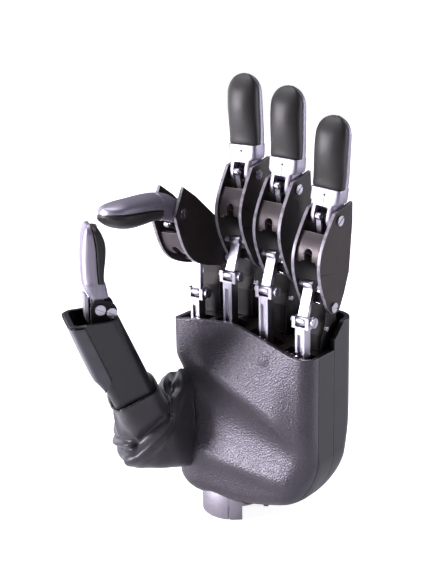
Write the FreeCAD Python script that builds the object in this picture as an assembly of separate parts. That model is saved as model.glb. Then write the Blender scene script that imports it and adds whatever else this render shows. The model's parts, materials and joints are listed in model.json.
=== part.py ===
import FreeCAD, Part
import math
import os
from FreeCAD import Placement, Rotation, Vector

# Powered prosthetic left hand: index finger and thumb bent to a pinch, other fingers straight.
# Millimetres and degrees. The origin is the centre of the wrist bore's mouth. +Z runs from the
# wrist to the fingers, -Y is the palm side and -X is the thumb side.
#
# A finger's own frame has its knuckle axle at the origin: x runs across the finger, +y is its
# back and z runs along it. Bending a finger is a positive turn about x.

# --- Fingers: the knuckle's place, the sideways splay, the bend it is drawn at and its motor ---
FINGERS = {
    "index": {"knuckle": Vector(-13.3, 4.5, 116.3), "splay": -3.0, "bend": 47.5, "motor": (-11.5, 6.5)},
    "middle": {"knuckle": Vector(6.0, 4.0, 117.6), "splay": -1.0, "bend": 0.0, "motor": (6.0, -8.3)},
    "ring": {"knuckle": Vector(25.9, 3.8, 114.0), "splay": 1.6, "bend": 0.0, "motor": (25.9, -8.3)},
    "little": {"knuckle": Vector(45.5, 3.5, 103.5), "splay": 4.4, "bend": 0.0, "motor": (44.0, -8.3)},
}
TIP_RATIO = 0.75            # fingertip bend for one degree of knuckle bend
TIP_LEAN = -3.0             # a straight finger's tip leans back a little
FINGER_HALF = 7.4           # half of a finger's outer width
PLATE = 1.5                 # side plate thickness
GAP = 0.25                  # clearance beside moving faces
PHALANX = 40.0              # knuckle axle to fingertip axle
TIP_AXLE_Y = -0.6           # the fingertip axle sits just to the palm side of the centre line
TIP_LENGTH = 44.5           # fingertip axle to the end of the finger
AXLE_R = 1.5
BORE_PLAY = 0.05            # radial running clearance
HEAD_R = 2.3
HEAD_H = 0.8

# --- Finger drive: a rod in the palm pulls a link that is pinned inside the finger ---
ROD_Y = -13.3               # rod axis, from the knuckle
ROD_HALF = 2.4
ROD_BELOW_HUB = 36.0
HUB_Z = -4.4                # hub height, from the knuckle, with the finger straight
HUB_DROP = 0.2095           # mm of rod travel for one degree of bend
HUB_PIN_R = 1.3
HUB_PIN_HALF = 5.6
LINK_PIN_Y = -7.5           # the drive link's pin in the finger
LINK_PIN_Z = 10.5
LINK_HALF = 2.3
TIP_PIN_Y = -5.0            # coupling link's pin, from the fingertip axle
TIP_PIN_Z = 1.2
TIP_PIN_R = 0.8
COUPLER_HALF = 1.2
COUPLER_FOOT_Y = 2.8        # coupling link's foot in the knuckle bracket, from the knuckle
COUPLER_FOOT_Z = 3.2

# --- Palm ---
PALM_X = (-22.0, 54.0)
PALM_Y = (-18.0, 20.0)
PALM_CORNER = 13.0
ULNAR_CORNER = 9.0          # the tighter corner beside the little finger
PLAN_MARGIN = 6.0           # the thumb side's corners start this far outside the palm's flank
PALM_EDGE = 8.0
PALM_FLOOR = 1.4
SHELL = 2.2
SEAM = 0.3
RIM = [(-30, 89.3), (8, 93.0), (46, 84.0), (62, 83.0)]      # x, z along the open top of the palm
DECK_DROP = 1.0
DECK_T = 2.5
SIDE_SEAM_Y = -10.0
BACK_SEAM_Y = 2.5
POCKET_HALF = 7.6
POCKET_DEPTH = 6.2
RELIEF_HALF = 3.0           # pocket in the wall beside the little finger's crosshead
RELIEF_GAP = 0.4
RELIEF_Z = (60.0, 95.0)
# Inner and outer radius, bottom, top, start and end angle about the thumb's swing axis.
ARM_SLOT = (0, 26.0, 30.0, 48.0, 138.0, 256.0)
COLLAR_RECESS = (14.5, 40.0, 21.5, 61.0, 137.0, 262.0)

# --- Wrist ---
BORE_R = 13.0
COUPLING_R = 16.0
BAND_H = 9.0
LUG_H = 7.0
LUG_SPAN = 110.0
LUG_MIDDLE = 263.0
LUG_STEP = 0.6              # the lugs stand back from the bore
WELL_R = 17.2

# --- Thumb ---
SWING = Vector(-9.0, -5.0, 39.0)        # the thumb swings about a vertical axis through here
THUMB_HINGE = Vector(-28.5, -29.0, 39.0)
THUMB_RIM = Vector(-24.0, -69.5, 105.0)
THUMB_YAW = 142.0                       # turn of the thumb's own frame about Z
TUBE_X = 11.8
TUBE_Y = 10.2
TUBE_WALL = 1.8
TUBE_CORNER = 4.0
EAR_IN = 6.4
BOOT_R = 16.3
BOOT_WALL = 2.0
COLLAR_R = (16.4, 27.0)
COLLAR_Z = (26.0, 60.0)
COLLAR_SPAN = 50.0


# ---------------------------------------------------------------- shape helpers
def spline(points):
    curve = Part.BSplineCurve()
    curve.interpolate(points)
    return curve.toShape()


def outline(pieces, place):
    """Closed wire from pieces: a list of points is straight lines, ('curve', points) a spline."""
    edges = []
    last = None
    first = None
    for piece in pieces:
        curved = piece[0] == "curve"
        points = [place(*p) for p in (piece[1] if curved else piece)]
        if last is not None and not last.isEqual(points[0], 1e-6):
            edges.append(Part.makeLine(last, points[0]))
        if curved:
            edges.append(spline(points))
        else:
            for a, b in zip(points, points[1:]):
                edges.append(Part.makeLine(a, b))
        first = first or points[0]
        last = points[-1]
    if not last.isEqual(first, 1e-6):
        edges.append(Part.makeLine(last, first))
    return Part.Wire(Part.__sortEdges__(edges))


def prism_x(pieces, x0, x1):
    """Solid between x0 and x1 whose section is an outline in y and z."""
    wire = outline(pieces, lambda y, z: Vector(x0, y, z))
    return Part.Face(wire).extrude(Vector(x1 - x0, 0, 0))


def prism_y(pieces, y0, y1):
    wire = outline(pieces, lambda x, z: Vector(x, y0, z))
    return Part.Face(wire).extrude(Vector(0, y1 - y0, 0))


def box(x0, x1, y0, y1, z0, z1):
    return Part.makeBox(x1 - x0, y1 - y0, z1 - z0, Vector(x0, y0, z0))


def rod_x(radius, x0, x1, y, z):
    return Part.makeCylinder(radius, x1 - x0, Vector(x0, y, z), Vector(1, 0, 0))


def rod_z(radius, x, y, z0, z1):
    return Part.makeCylinder(radius, z1 - z0, Vector(x, y, z0))


def upright_edges(shape):
    return [e for e in shape.Edges if abs(e.tangentAt(e.FirstParameter).z) > 0.99]


def rounded_block(half_x, half_y, radius, z0, z1):
    """Upright block centred on the z axis with rounded upright edges."""
    block = box(-half_x, half_x, -half_y, half_y, z0, z1)
    return block.makeFillet(radius, upright_edges(block))


def slotted_head(x, y, z, outward, turn):
    """Cheese head of a screw that faces along x, with its screwdriver slot turned by turn."""
    inner = x if outward > 0 else x - HEAD_H
    head = rod_x(HEAD_R, inner, inner + HEAD_H, y, z)
    face = x + outward * HEAD_H
    slot = box(face - 0.4, face + 0.4, -HEAD_R, HEAD_R, -0.3, 0.3)
    slot.Placement = Placement(Vector(0, y, z), Rotation(Vector(1, 0, 0), turn))
    return head.cut(slot)


def placed(shape, placement):
    moved = shape.copy()
    moved.Placement = placement.multiply(moved.Placement)
    return moved


# ---------------------------------------------------------------- finger pieces, in finger frame
def side_plate(side):
    """One cheek of the finger. side is -1 on the thumb side and +1 on the other."""
    edge = [
        [(-4.4, 43.7), (9.0, 46.6), (10.3, 37.0), (10.8, 14.3), (8.3, 5.0), (5.2, -2.2)],
        ("curve", [(5.2, -2.2), (1.5, -3.4), (-2.6, -1.6), (-7.0, 4.4)]),
        ("curve", [(-7.0, 4.4), (-11.6, 13.2), (-13.7, 24.5), (-10.2, 34.4), (-4.4, 43.7)]),
    ]
    inner = side * (FINGER_HALF - PLATE)
    outer = side * FINGER_HALF
    plate = prism_x(edge, min(inner, outer), max(inner, outer))
    for y, z in ((0, 0), (TIP_AXLE_Y, PHALANX)):
        plate = plate.cut(rod_x(AXLE_R + BORE_PLAY, -9, 9, y, z))
    stub_x = sorted((inner, side * (LINK_HALF + 1.3)))
    stub = rod_x(1.2, stub_x[0], stub_x[1], LINK_PIN_Y, LINK_PIN_Z)
    return plate.fuse(stub).removeSplitter()


def bridge():
    """Web that joins the two cheeks: palm-side face with an arched notch, and a spine behind."""
    half = FINGER_HALF - PLATE
    web = prism_x([
        ("curve", [(-11.6, 21.5), (-12.2, 25.5), (-9.9, 32.0), (-8.2, 34.6)]),
        ("curve", [(-6.9, 33.9), (-8.6, 31.4), (-10.6, 25.3), (-10.1, 21.8)]),
    ], -half, half)
    notch = box(-half - 1, half + 1, -14, -8, 20, 22.6)
    arch = box(-1.9, 1.9, -14, -8, 22, 26.2).fuse(Part.makeCylinder(
        1.9, 6, Vector(0, -14, 26.2), Vector(0, 1, 0)))
    notch = notch.cut(box(-half - 1, -3.9, -14, -8, 19, 24)).cut(box(3.9, half + 1, -14, -8, 19, 24))
    spine = prism_x([[(8.6, 12.0), (10.2, 12.3), (9.9, 34.0), (8.3, 34.0)]], -half, half)
    shelf = box(-half, half, 1.5, 9.2, 20.0, 21.6)
    cheek = prism_x([[(1.5, 20.0), (3.6, 20.0), (-9.2, 28.6), (-11.2, 26.6)]], 0, 1.2)
    web = web.cut(notch).cut(arch)
    for x in (-half, half - 1.2):
        web = web.fuse(placed(cheek, Placement(Vector(x, 0, 0), Rotation())))
    return web.fuse(spine).fuse(shelf).removeSplitter()


def finger_screws():
    """Fingertip axle with slotted heads, which stays in the side plates."""
    out = FINGER_HALF + 0.05
    axle = rod_x(AXLE_R, -out, out, TIP_AXLE_Y, PHALANX)
    for side in (-1, 1):
        axle = axle.fuse(slotted_head(side * out, TIP_AXLE_Y, PHALANX, side, 35))
    return axle.removeSplitter()


# Fingertip frame: the fingertip axle at the origin.
TIP_BACK = [(4.6, -2.6), (6.6, 1.2), (9.0, 7.0), (9.1, 16.3), (7.5, 27.5), (6.2, 35.9), (4.4, 43.0)]
TIP_SPLIT = [(-0.2, 43.2), (-0.6, 33.0), (0.4, 19.6), (0.6, 13.0)]
PAD_FRONT = [(-2.5, 13.2), (-3.2, 17.0), (-5.2, 24.2), (-6.0, 30.5), (-5.4, 37.0), (-2.6, 42.8)]
PAD_SEAM = 0.12
NECK_HALF = FINGER_HALF - PLATE - GAP
WINDOW_HALF = 3.0


def tip_shell():
    """Silver back of a fingertip, with a neck that turns between the side plates."""
    end = (1.4, TIP_LENGTH)
    body = prism_x([
        ("curve", TIP_BACK + [end]),
        ("curve", TIP_SPLIT),
        [TIP_SPLIT[-1], (-2.4, 13.0), (-3.0, 6.0), (-6.0, 3.2), (-6.0, -0.4), (-3.6, -2.4), (-1.2, -3.6),
         TIP_BACK[0]],
    ], -FINGER_HALF, FINGER_HALF)
    for side in (-1, 1):
        beside = sorted((side * NECK_HALF, side * 9))
        body = body.cut(box(*beside, -8, 3.4, -6, 6.6))
        body = body.cut(prism_x([[(3.3, -6), (12, -6), (12, 8.9), (3.3, 7.0)]], *beside))
    body = body.cut(box(-WINDOW_HALF, WINDOW_HALF, -8, 1.2, -6, 5.2))
    body = body.cut(rod_x(AXLE_R + BORE_PLAY, -9, 9, 0, 0))
    body = body.cut(box(-WINDOW_HALF, WINDOW_HALF, -2.0, 7.5, -6, 2.0))
    pin = rod_x(TIP_PIN_R, -WINDOW_HALF - 0.2, WINDOW_HALF + 0.2, TIP_PIN_Y, TIP_PIN_Z)
    return body.fuse(pin).removeSplitter()


def tip_pad():
    """Soft pad on the palm side of a fingertip."""
    near = [(y - PAD_SEAM, z + PAD_SEAM) for y, z in TIP_SPLIT]
    return prism_x([("curve", PAD_FRONT), ("curve", near)], -FINGER_HALF, FINGER_HALF)


# ---------------------------------------------------------------- finger drive, in knuckle frame
def tip_bend(bend):
    return TIP_RATIO * bend + TIP_LEAN


def hub_height(bend):
    return HUB_Z - HUB_DROP * bend


def drive_rod(bend):
    """Square channel that slides in the palm, with a crosshead and its two trunnions on top."""
    hub = hub_height(bend)
    tube = box(-ROD_HALF, ROD_HALF, ROD_Y - ROD_HALF, ROD_Y + ROD_HALF, hub - ROD_BELOW_HUB, hub - 3.0)
    tube = tube.cut(box(-1.3, 1.3, ROD_Y - 3, ROD_Y - 1.2, hub - ROD_BELOW_HUB - 1, hub - 6.0))
    fork = box(-4.3, 4.3, ROD_Y - 2.2, ROD_Y + 2.2, hub - 3.2, hub + 2.0)
    fork = fork.cut(box(-LINK_HALF - GAP, LINK_HALF + GAP, ROD_Y - 4, ROD_Y + 4, hub - 2.4, hub + 4))
    pin = rod_x(HUB_PIN_R, -HUB_PIN_HALF, HUB_PIN_HALF, ROD_Y, hub)
    rod = tube.fuse(fork).fuse(pin)
    return rod.fuse(slotted_head(HUB_PIN_HALF, ROD_Y, hub, 1, 60)).removeSplitter()


def drive_link(bend):
    """Flat link from the crosshead up to the pin inside the finger, where it stays free."""
    hub = Vector(0, ROD_Y, hub_height(bend))
    turn = Rotation(Vector(1, 0, 0), bend)
    pin = turn.multVec(Vector(0, LINK_PIN_Y, LINK_PIN_Z))
    reach = pin - hub
    length = reach.Length
    link = box(-LINK_HALF, LINK_HALF, -1.1, 1.1, 0, length)
    for z in (0, length):
        link = link.fuse(rod_x(2.2, -LINK_HALF, LINK_HALF, 0, z))
    link = link.cut(rod_x(HUB_PIN_R + BORE_PLAY, -4, 4, 0, 0)).removeSplitter()
    lean = math.degrees(math.atan2(-reach.y, reach.z))
    return placed(link, Placement(hub, Rotation(Vector(1, 0, 0), lean)))


def coupling_link(bend):
    """Thin link inside the finger that turns the fingertip as the knuckle bends."""
    foot = Vector(0, COUPLER_FOOT_Y, COUPLER_FOOT_Z)
    axle = Vector(0, TIP_AXLE_Y, PHALANX)
    pin = Vector(0, TIP_PIN_Y, TIP_PIN_Z)
    reach = axle + pin - foot
    moved = Rotation(Vector(1, 0, 0), tip_bend(bend)).multVec(pin) - pin
    link = box(-COUPLER_HALF, COUPLER_HALF, -0.7, 0.7, 0, reach.Length)
    link = link.fuse(rod_x(1.2, -COUPLER_HALF, COUPLER_HALF, 0, 0))
    link = link.fuse(rod_x(1.6, -COUPLER_HALF, COUPLER_HALF, 0, reach.Length))
    link = link.cut(rod_x(TIP_PIN_R + BORE_PLAY, -4, 4, 0, reach.Length)).removeSplitter()
    lean = math.degrees(math.atan2(-reach.y, reach.z))
    return placed(link, Placement(foot + moved, Rotation(Vector(1, 0, 0), lean)))


# ---------------------------------------------------------------- palm
def rim_height(x):
    for (x0, z0), (x1, z1) in zip(RIM, RIM[1:]):
        if x <= x1:
            return z0 + (z1 - z0) * (x - x0) / (x1 - x0)
    return RIM[-1][1]


def palm_block(inset, top):
    """Outer form of the palm, or its hollow when inset is the wall thickness."""
    x0, x1 = PALM_X[0] + inset, PALM_X[1] - inset
    y0, y1 = PALM_Y[0] + inset, PALM_Y[1] - inset
    front = prism_y([
        [(x0, top), (x0, 24.0)],
        ("curve", [(x0, 24.0), (x0 - 3.0, 17.0), (x0 - 3.4, 11.0), (x0 + 0.4, 5.2 + inset * 0.6),
                   (x0 + 9.0, 1.8 + inset),
                   (x0 + 20.0, PALM_FLOOR + inset), (x0 + 37.0, PALM_FLOOR + inset)]),
        ("curve", [(x0 + 37.0, PALM_FLOOR + inset), (x0 + 50.0, 3.6 + inset),
                   (x1 - 13.0, 9.6 + inset), (x1 - 4.0, 17.8 + inset), (x1, 30.0)]),
        [(x1, 30.0), (x1, top)],
    ], PALM_Y[0] - 1, PALM_Y[1] + 1)
    side_r = PALM_EDGE - inset * 0.5
    floor = PALM_FLOOR + inset
    side = box(x0 - 12, x1 + 5, y0, y1, floor, top)
    low = [e for e in side.Edges if abs(e.tangentAt(e.FirstParameter).x) > 0.99
           and e.CenterOfMass.z < floor + 1]
    side = side.makeFillet(side_r, low)
    return front.common(side).common(palm_plan(x0 - PLAN_MARGIN, x1, y0, y1, top, inset))


def palm_plan(x0, x1, y0, y1, top, inset):
    """Upright block with the palm's four corners, the one beside the little finger tighter."""
    plan = box(x0, x1, y0, y1, -1, top + 1)
    near = 0.1
    tight = [e for e in upright_edges(plan)
             if e.CenterOfMass.x > x1 - near and e.CenterOfMass.y < y0 + near]
    plan = plan.makeFillet(ULNAR_CORNER - inset, tight)
    wide = [e for e in upright_edges(plan)
            if e.CenterOfMass.y > y1 - near or e.CenterOfMass.x < x0 + near]
    return plan.makeFillet(PALM_CORNER - inset, wide)


def under_rim(lower, upper):
    """Slab through the whole palm between two depths below its rim line."""
    low = [(x, z + lower) for x, z in RIM]
    high = [(x, z + upper) for x, z in reversed(RIM)]
    return prism_y([low + high], -40, 40)


def crosshead_relief():
    """Room in the palm's wall for the screw head on the little finger's crosshead."""
    little = FINGERS["little"]["knuckle"]
    reach = little.x + HUB_PIN_HALF + HEAD_H + RELIEF_GAP
    y = little.y + ROD_Y
    return box(little.x, reach, y - RELIEF_HALF, y + RELIEF_HALF, *RELIEF_Z)


def palm_shell():
    """Hollow palm, open for the wrist, the thumb's arm and the gaiter's collar."""
    shell = palm_block(0, 130).cut(palm_block(SHELL, 131))
    shell = shell.cut(rod_z(WELL_R, 0, 0, -5, 12)).cut(crosshead_relief())
    return shell.cut(swing_sector(*ARM_SLOT)).cut(swing_sector(*COLLAR_RECESS))


def swing_sector(inner, outer, z0, z1, start, end):
    """Part of a thick ring around the thumb's swing axis."""
    foot = Vector(SWING.x, SWING.y, z0)
    sector = Part.makeCylinder(outer, z1 - z0, foot, Vector(0, 0, 1), end - start)
    sector.rotate(foot, Vector(0, 0, 1), start)
    return sector.cut(Part.makeCylinder(inner, z1 - z0, foot)) if inner else sector


def palm_covers():
    shell = palm_shell()
    below = under_rim(-120, 0)
    front_zone = box(-60, 42, -40, BACK_SEAM_Y, -5, 130).fuse(box(41, 80, -40, SIDE_SEAM_Y, -5, 130))
    strip_zone = box(42 + SEAM, 80, SIDE_SEAM_Y + SEAM, BACK_SEAM_Y, -5, 130)
    back_zone = box(-60, 80, BACK_SEAM_Y + SEAM, 40, -5, 130)
    back_top = prism_x([[(-30, -10), (-30, 83.0), (4.0, 88.5), (12.0, 96.0), (40, 99.0), (40, -10)]],
                       -60, 80)
    slope = prism_y([[(-60, -10), (-60, 99.0), (20, 99.0), (80, 92.0), (80, -10)]], -40, 40)
    return {
        "palm_cover": shell.common(front_zone).common(below),
        "side_strip": shell.common(strip_zone).common(below),
        "back_cover": shell.common(back_zone).common(back_top).common(slope),
    }


def deck():
    """Glossy plate that closes the palm under the fingers, with a pocket for each crosshead."""
    plate = under_rim(-DECK_DROP - DECK_T, -DECK_DROP).common(palm_block(SHELL + 0.15, 131))
    for finger in FINGERS.values():
        x, y = finger["knuckle"].x, finger["knuckle"].y + ROD_Y
        half = POCKET_DEPTH / 2
        plate = plate.cut(box(x - POCKET_HALF, x + POCKET_HALF + 1.0, y - half, y + half, 60, 110))
    return plate


def knuckle_bracket(name):
    """Post that stands on the deck and carries one knuckle axle between the finger's cheeks."""
    knuckle = FINGERS[name]["knuckle"]
    foot = rim_height(knuckle.x) - DECK_DROP + 0.1 - knuckle.z
    half = FINGER_HALF - PLATE - 2 * GAP
    post = prism_x([
        [(-2.6, 0.0), (-2.6, -8.0), (-4.6, -13.0), (-4.6, foot), (7.6, foot), (7.6, -11.0),
         (5.6, -4.0), (5.6, 0.0)],
        ("curve", [(5.6, 0.0), (4.2, 3.0), (1.5, 4.0), (-1.4, 3.0), (-2.6, 0.0)]),
    ], -half, half)
    slot = COUPLER_HALF + 0.5
    post = post.cut(box(-slot, slot, -5, 14, 0.5, 6))
    post = post.cut(rod_x(AXLE_R + 0.02, -9, 9, 0, 0))
    post = post.cut(rod_x(1.1 + 0.02, -9, 9, -2.0, -10.0))
    sole = under_rim(-200, -DECK_DROP + 0.02)
    post = placed(post, Placement(knuckle, Rotation(Vector(0, 1, 0), FINGERS[name]["splay"])))
    return post.cut(sole)


def knuckle_axle(name):
    """Knuckle axle with slotted heads, and the plain cross pin below it."""
    out = FINGER_HALF + 0.05
    axle = rod_x(AXLE_R, -out, out, 0, 0)
    for side in (-1, 1):
        axle = axle.fuse(slotted_head(side * out, 0, 0, side, -20))
    pin = rod_x(1.1, -6.4, 6.4, -2.0, -10.0)
    frame = Placement(FINGERS[name]["knuckle"], Rotation(Vector(0, 1, 0), FINGERS[name]["splay"]))
    return [placed(axle.removeSplitter(), frame), placed(pin, frame)]


def chassis():
    """Frame inside the palm: foot plate over the wrist, back plate, guide plate, thumb lugs."""
    foot = rod_z(14.5, 0, 0, 13.5, 17.0).fuse(box(-17, 34, 8.0, 15.0, 13.5, 17.0))
    back = box(-14, 46, 12.5, 15.0, 17.0, 78.0)
    back = back.cut(prism_y([[(20, 5), (50, 5), (50, 34)]], 10, 17))
    guide = box(-15, 47, -13.0, 15.0, 68.0, 70.5)
    for finger in FINGERS.values():
        x, y = finger["knuckle"].x, finger["knuckle"].y + ROD_Y
        guide = guide.cut(box(x - 3.6, x + 3.6, y - 3.2, y + 3.2, 60, 80))
    lugs = box(-15, -3, -11, 13.0, 22.5, 26.5).fuse(box(-15, -3, -11, 13.0, 52.5, 56.5))
    frame = foot.fuse(back).fuse(guide).fuse(lugs)
    frame = frame.cut(rod_z(3.05, SWING.x, SWING.y, 20, 60))
    return frame.cut(rod_z(6.0, 0, 0, 10, 20)).removeSplitter()


def finger_motors():
    """Four geared motors, one for each drive rod."""
    motors = []
    for finger in FINGERS.values():
        x, y = finger["motor"]
        body = rod_z(4.3, x, y, 28.0, 41.0)
        motors.append(body.fuse(rod_z(1.5, x, y, 41.0, 43.0)).removeSplitter())
    return motors


def control_board():
    board = box(-2.5, 42.0, 8.0, 9.6, 29.0, 66.0)
    for x, z in ((4, 44), (20, 44), (20, 60), (34, 58)):
        board = board.fuse(box(x - 4, x + 4, 6.8, 8.1, z - 4, z + 4))
    return board.removeSplitter()


def deck_screws():
    """Three small pan-head screws in front of each drive rod."""
    screws = []
    for finger in FINGERS.values():
        inward = 0.1 * (sum(PALM_X) / 2 - finger["knuckle"].x)
        for step in (-2.6, 0.0, 2.6):
            x = finger["knuckle"].x + inward + step
            z = rim_height(x) - DECK_DROP
            screws.append(rod_z(0.7, x, -13.9, z + 0.2, z + 0.75))
    return screws


# ---------------------------------------------------------------- wrist
def wrist_coupling():
    """Ring with a plain bore above two bayonet lugs."""
    ring = rod_z(COUPLING_R, 0, 0, 0, BAND_H).cut(rod_z(BORE_R, 0, 0, -1, BAND_H + 1))
    for middle in (LUG_MIDDLE, LUG_MIDDLE + 180):
        lug = Part.makeCylinder(COUPLING_R, LUG_H, Vector(0, 0, -LUG_H), Vector(0, 0, 1), LUG_SPAN)
        lug.rotate(Vector(), Vector(0, 0, 1), middle - LUG_SPAN / 2)
        lug = lug.cut(rod_z(BORE_R + LUG_STEP, 0, 0, -LUG_H - 1, 1))
        slit = box(COUPLING_R - 0.6, COUPLING_R + 1, -0.35, 0.35, -LUG_H - 1, 0)
        slit.rotate(Vector(), Vector(0, 0, 1), middle + 32)
        ring = ring.fuse(lug.cut(slit))
    neck = rod_z(15.0, 0, 0, BAND_H, 11.0).cut(rod_z(5.0, 0, 0, BAND_H - 1, 12))
    return ring.fuse(neck).removeSplitter()


def wrist_bearing():
    """Thin-section bearing ring between the coupling and the palm's chassis."""
    race = rod_z(14.5, 0, 0, 11.1, 13.4).cut(rod_z(9.0, 0, 0, 10, 14))
    return race.cut(rod_z(12.2, 0, 0, 12.0, 12.6).cut(rod_z(11.4, 0, 0, 11.9, 12.7)))


def wrist_plug():
    """Coaxial electrical socket in the coupling's top plate, clear of the bore."""
    plug = rod_z(4.9, 0, 0, BAND_H + 0.3, 13.0)
    return plug.cut(rod_z(3.4, 0, 0, BAND_H, 11.5).cut(rod_z(1.6, 0, 0, BAND_H, 11.5)))


# ---------------------------------------------------------------- thumb
def thumb_frame():
    """Frame of the thumb's tube: z along the tube, x along its hinge, +y towards its back."""
    along = (THUMB_RIM - THUMB_HINGE).normalize()
    across = Rotation(Vector(0, 0, 1), THUMB_YAW).multVec(Vector(1, 0, 0))
    back = along.cross(across).normalize()
    across = back.cross(along)
    turn = FreeCAD.Matrix(across.x, back.x, along.x, 0, across.y, back.y, along.y, 0,
                          across.z, back.z, along.z, 0, 0, 0, 0, 1)
    return Placement(THUMB_HINGE, Rotation(turn))


def thumb_base():
    """Drum that swings in the palm, with an arm out to the thumb's hinge barrel."""
    drum = rod_z(6.5, SWING.x, SWING.y, 26.8, 52.2)
    pins = rod_z(3.0, SWING.x, SWING.y, 22.0, 57.0)
    reach = THUMB_HINGE - SWING
    arm = Part.makeCylinder(4.2, reach.Length, SWING, reach)
    barrel = placed(rod_x(5.0, -5.9, 5.9, 0, 0), thumb_frame())
    pin_hole = placed(rod_x(2.05, -9, 9, 0, 0), thumb_frame())
    return drum.fuse(pins).fuse(arm).fuse(barrel).cut(pin_hole).removeSplitter()


def tube_length():
    return (THUMB_RIM - THUMB_HINGE).Length


def thumb_tube():
    """Hollow tube, cut level at its rim, with two ears at its foot around the hinge barrel."""
    outer = rounded_block(TUBE_X, TUBE_Y, TUBE_CORNER, -5.0, tube_length() + 12)
    inner = rounded_block(TUBE_X - TUBE_WALL, TUBE_Y - TUBE_WALL, TUBE_CORNER - 1.5,
                          12.0, tube_length() + 13)
    tube = outer.cut(inner)
    tube = tube.cut(box(-EAR_IN, EAR_IN, -20, 20, -10, 10.0))
    ear_zone = rod_x(6.5, -20, 20, 0, 0).fuse(box(-20, 20, -6.5, 6.5, 0, 10)).fuse(
        box(-20, 20, -20, 20, 9.5, 200))
    tube = tube.common(ear_zone).cut(rod_x(2.02, -20, 20, 0, 0))
    tube = placed(tube, thumb_frame())
    return tube.cut(box(-90, 60, -140, 20, THUMB_RIM.z, 200))


def thumb_rail():
    """Raised rail on the tube's outer cheek, ending in a pointed foot."""
    length = tube_length()
    rail = prism_y([[(-7.0, length - 9.0), (-7.0, 37.0), (0.0, 32.0), (7.0, 37.0), (7.0, length - 9.0)]],
                   TUBE_Y + 0.05, TUBE_Y + 1.4)
    return placed(rail, thumb_frame())


def thumb_pin():
    return placed(rod_x(2.0, -TUBE_X + 0.3, TUBE_X - 0.3, 0, 0), thumb_frame())


def thumb_motor():
    motor = rod_z(5.0, 0, 0, 16.0, 50.0).fuse(rod_z(1.5, 0, 0, 50.0, 58.0)).removeSplitter()
    return placed(motor, thumb_frame())


THUMB_TIP_WIDTH = 6.2
THUMB_TIP_LENGTH = 37.4


def tip_frame():
    """Frame of the thumb's end joint, above the tube's rim."""
    turn = Rotation(Vector(0, 0, 1), THUMB_YAW)
    return Placement(THUMB_RIM + turn.multVec(Vector(0, -3.2, 4.0)), turn)


def thumb_clevis():
    """Black bracket that rises out of the tube and carries the thumb's end joint."""
    cheek = [
        [(-0.5, -13.0), (4.2, -6.0), (4.2, 0.5)],
        ("curve", [(4.2, 0.5), (2.4, 3.4), (-1.0, 3.6), (-6.0, 2.0), (-7.4, -1.2)]),
        [(-7.4, -1.2), (-7.4, -3.4), (-4.8, -3.8), (-4.8, -13.0)],
    ]
    bracket = prism_x(cheek, -5.4, 5.4).cut(box(-3.9, 3.9, -9, 9, -12.0, 8))
    bracket = bracket.cut(rod_x(AXLE_R + 0.02, -9, 9, 0, 0))
    bracket = bracket.cut(rod_x(1.2, -9, 9, -4.9, -1.8))
    return placed(bracket, tip_frame())


def thumb_screws():
    """End joint axle and the lower cross screw, both with slotted heads."""
    screws = []
    for radius, y, z in ((AXLE_R, 0, 0), (1.18, -4.9, -1.8)):
        screw = rod_x(radius, -5.45, 5.45, y, z)
        for side in (-1, 1):
            screw = screw.fuse(slotted_head(side * 5.45, y, z, side, 25))
        screws.append(placed(screw.removeSplitter(), tip_frame()))
    return screws


# The thumb's end in its own frame: back of the shell, line between shell and pad, face of the pad.
THUMB_BACK = [(6.2, 9.7), (6.8, 17.0), (6.6, 25.0), (5.7, 33.0)]
THUMB_SPLIT = [(1.6, 34.0), (0.6, 27.0), (0.5, 18.0), (0.2, 12.0)]
THUMB_PAD = [(-2.9, 11.0), (-2.9, 15.0), (-4.0, 22.0), (-4.2, 27.5), (-2.6, 32.0), (-0.6, 33.8)]


def thumb_tip_shell():
    end = (3.2, THUMB_TIP_LENGTH)
    body = prism_x([
        ("curve", THUMB_BACK + [end]),
        ("curve", THUMB_SPLIT),
        [THUMB_SPLIT[-1], (-1.0, 10.0), (-3.4, 9.8), (-4.2, 4.4), (2.0, 6.0), THUMB_BACK[0]],
    ], -THUMB_TIP_WIDTH, THUMB_TIP_WIDTH)
    tongue = box(-3.6, 3.6, -2.2, 2.6, 0, 8.0).fuse(rod_x(2.4, -3.6, 3.6, 0, 0))
    tongue = tongue.cut(rod_x(AXLE_R + BORE_PLAY, -9, 9, 0, 0))
    return placed(body.fuse(tongue).removeSplitter(), tip_frame())


def thumb_tip_pad():
    near = [(y - PAD_SEAM, z) for y, z in THUMB_SPLIT]
    pad = prism_x([("curve", THUMB_PAD), ("curve", near)], -THUMB_TIP_WIDTH, THUMB_TIP_WIDTH)
    return placed(pad, tip_frame())


def thumb_lever():
    """Wedge-shaped lever behind the end joint, fixed to the thumb's end, which its drive pushes."""
    wedge = prism_x([[(6.2, 7.0), (4.6, 5.6), (4.7, -7.0), (6.0, -4.5), (6.4, 0.0)]], -3.4, 3.4)
    return placed(wedge, tip_frame())


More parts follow.
